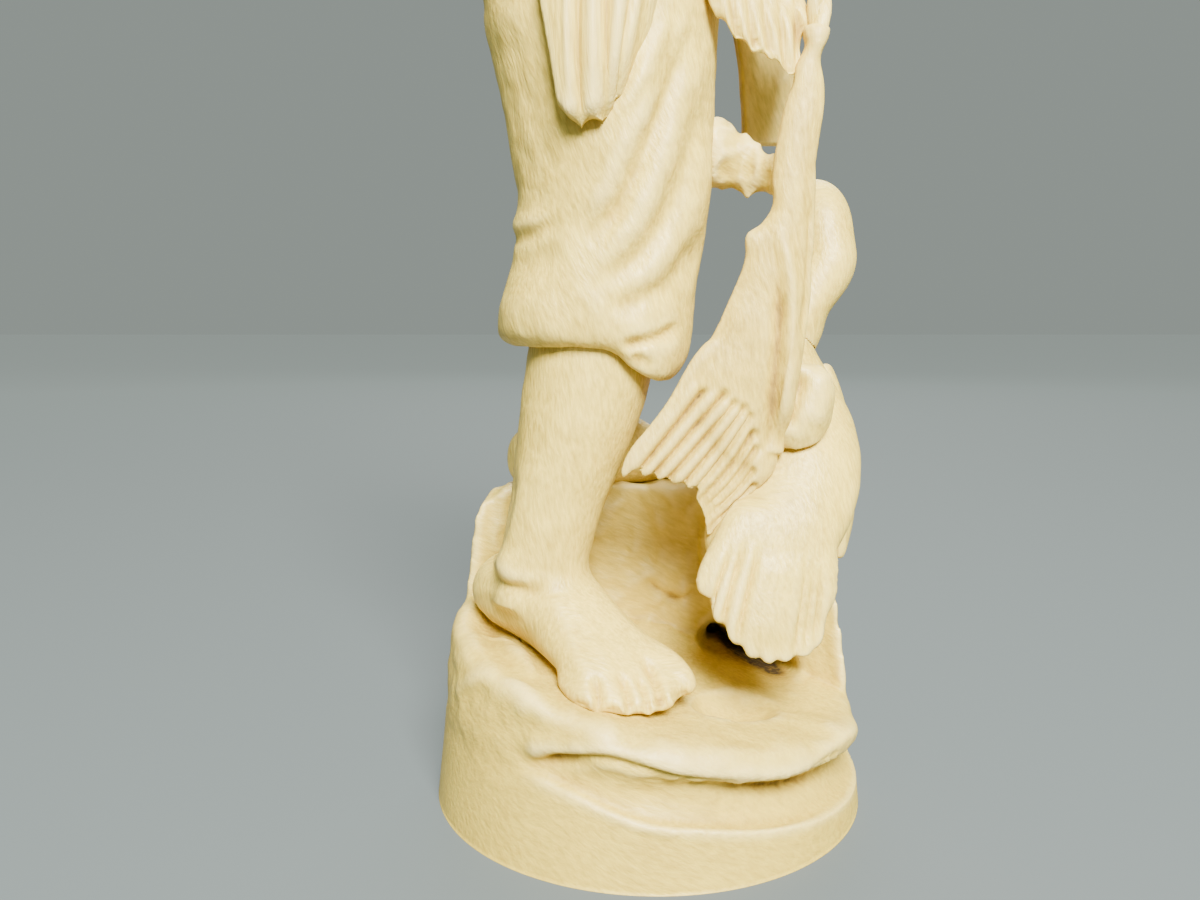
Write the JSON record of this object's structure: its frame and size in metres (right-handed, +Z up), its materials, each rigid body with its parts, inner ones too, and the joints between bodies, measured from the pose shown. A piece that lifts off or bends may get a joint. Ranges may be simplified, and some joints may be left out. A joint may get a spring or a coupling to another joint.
{
  "type": "carved figure",
  "caption": "Tall carving of a barefoot fisherman in a straw skirt standing on a rock, a rope in the left fist and a water bird below it; stands on a flat round base.",
  "frame": {"origin": "middle of the flat underside of the base", "axes": "+Z up; +X the way the figure faces; +Y to the figure's left"},
  "size_m": [0.092, 0.092, 0.2992],
  "materials": {
    "carved_ivory": "soft polish",
    "rock_ivory": "tooled, soft polish",
    "stained_ivory": "tooled and stained",
    "peg": "matt"
  },
  "bodies": {
    "root": {"base_drum": "rock_ivory", "base_plug": "carved_ivory", "foot_rock": "rock_ivory", "back_rock": "rock_ivory", "right_leg": "carved_ivory", "left_leg": "carved_ivory", "right_trouser": "carved_ivory", "left_trouser": "carved_ivory", "hips": "carved_ivory", "torso": "carved_ivory", "head": "carved_ivory", "headband": "carved_ivory", "headband_knot": "carved_ivory", "topknot": "carved_ivory", "waist_rope": "stained_ivory", "rope_knot": "stained_ivory", "right_sleeve": "carved_ivory", "right_hand": "carved_ivory", "left_sleeve": "carved_ivory", "left_hand": "carved_ivory", "leash_rope": "stained_ivory", "apron_panel": "stained_ivory", "front_fringe": "stained_ivory", "side_fringe": "stained_ivory", "back_fringe": "stained_ivory", "strut": "carved_ivory", "bird_body": "carved_ivory", "bird_neck": "carved_ivory", "bird_tail": "carved_ivory", "bird_left_wing": "carved_ivory", "bird_right_wing": "carved_ivory", "wing_shoulder": "carved_ivory", "foot_pegs": "peg", "trouser_pegs": "peg", "waist_peg": "peg", "neck_peg": "peg", "arm_pegs": "peg", "bird_pegs": "peg"}
  },
  "joints": []
}
